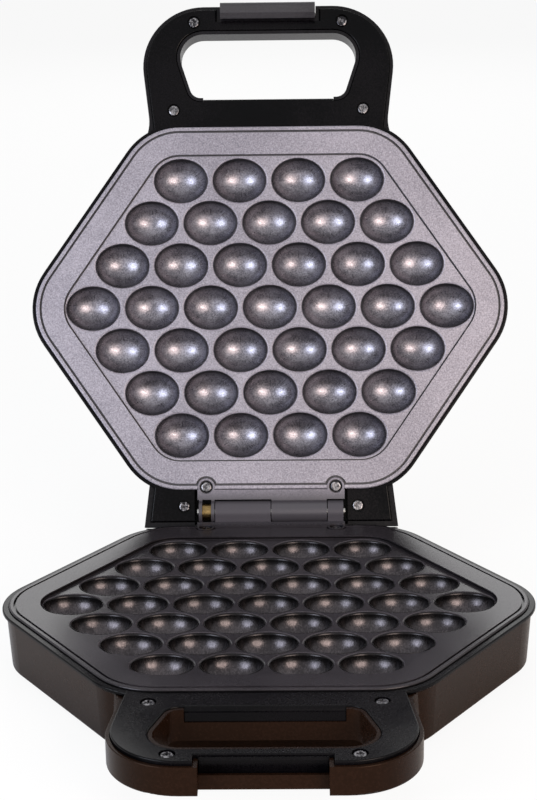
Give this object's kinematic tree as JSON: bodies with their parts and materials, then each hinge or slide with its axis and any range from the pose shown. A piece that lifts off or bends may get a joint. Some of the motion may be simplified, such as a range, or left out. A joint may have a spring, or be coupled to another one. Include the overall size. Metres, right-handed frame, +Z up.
{
  "type": "bubble waffle maker",
  "caption": "Hexagonal electric bubble waffle maker standing open, with cellular non-stick plates, hinged lid, loop handles and a swinging front latch.",
  "frame": {"origin": "centre of the open appliance's footprint box, on the table under the feet", "axes": "+X to the right seen from the handle, +Y from the handle to the hinge, +Z up"},
  "size_m": [0.2364, 0.3565, 0.27],
  "materials": {
    "housing_plastic": "dark brown moulded plastic with a soft gloss",
    "lid_housing_plastic": "black moulded plastic with a soft gloss",
    "frame_plastic": "near-black moulded plastic, fine satin",
    "coated_plate": "cast aluminium with a grey speckled non-stick coating",
    "heater_tube": "dull steel tube",
    "heat_shield_sheet": "bright pressed sheet",
    "thermostat_metal": "plain metal cap",
    "fuse_sleeve": "pale metal can",
    "terminal_plastic": "white moulded plastic",
    "gland_rubber": "black rubber",
    "pin_steel": "drawn steel wire",
    "bush_brass": "dull turned brass",
    "latch_plastic": "dark grey moulded plastic, satin",
    "power_lens": "clear red lens",
    "ready_lens": "clear green lens",
    "foot_rubber": "black rubber",
    "screw_steel": "blackened cross-head screws"
  },
  "bodies": {
    "base": {"base_shell": "housing_plastic", "base_frame": "frame_plastic", "lower_plate": "coated_plate", "lower_hinge": "coated_plate", "lower_heater": "heater_tube", "lower_heat_shield": "heat_shield_sheet", "thermostat": "thermostat_metal", "lower_thermal_fuse": "fuse_sleeve", "terminal_block": "terminal_plastic", "cord_gland": "gland_rubber", "hinge_pin": "pin_steel", "hinge_bush": "bush_brass", "foot_1": "foot_rubber", "foot_2": "foot_rubber", "foot_3": "foot_rubber", "foot_4": "foot_rubber", "base_frame_screw_1": "screw_steel", "base_frame_screw_2": "screw_steel", "base_frame_screw_3": "screw_steel", "base_frame_screw_4": "screw_steel", "lower_plate_screw_1": "screw_steel", "lower_plate_screw_2": "screw_steel", "lower_shield_screw_1": "screw_steel", "lower_shield_screw_2": "screw_steel", "lower_shield_screw_3": "screw_steel", "lower_shield_screw_4": "screw_steel"},
    "lid": {"lid_shell": "lid_housing_plastic", "lid_frame": "frame_plastic", "upper_plate": "coated_plate", "upper_hinge": "coated_plate", "upper_heater": "heater_tube", "upper_heat_shield": "heat_shield_sheet", "upper_thermal_fuse": "fuse_sleeve", "latch_pin": "pin_steel", "power_lamp": "power_lens", "ready_lamp": "ready_lens", "lid_frame_screw_1": "screw_steel", "lid_frame_screw_2": "screw_steel", "lid_frame_screw_3": "screw_steel", "lid_frame_screw_4": "screw_steel", "lid_frame_screw_5": "screw_steel", "lid_frame_screw_6": "screw_steel", "upper_plate_screw_1": "screw_steel", "upper_plate_screw_2": "screw_steel", "upper_shield_screw_1": "screw_steel", "upper_shield_screw_2": "screw_steel", "upper_shield_screw_3": "screw_steel", "upper_shield_screw_4": "screw_steel"},
    "latch": {"latch": "latch_plastic"}
  },
  "joints": [
    {"name": "lid_hinge", "type": "hinge", "parent": "base", "child": "lid", "pos_m": [0, 0.073, 0.0344], "axis": [1, 0, 0], "range_deg": [0, 112]},
    {"name": "latch_hinge", "type": "hinge", "parent": "lid", "child": "latch", "pos_m": [0, 0.17386, 0.26134], "axis": [-1, 0, 0], "range_deg": [0, 45]}
  ]
}
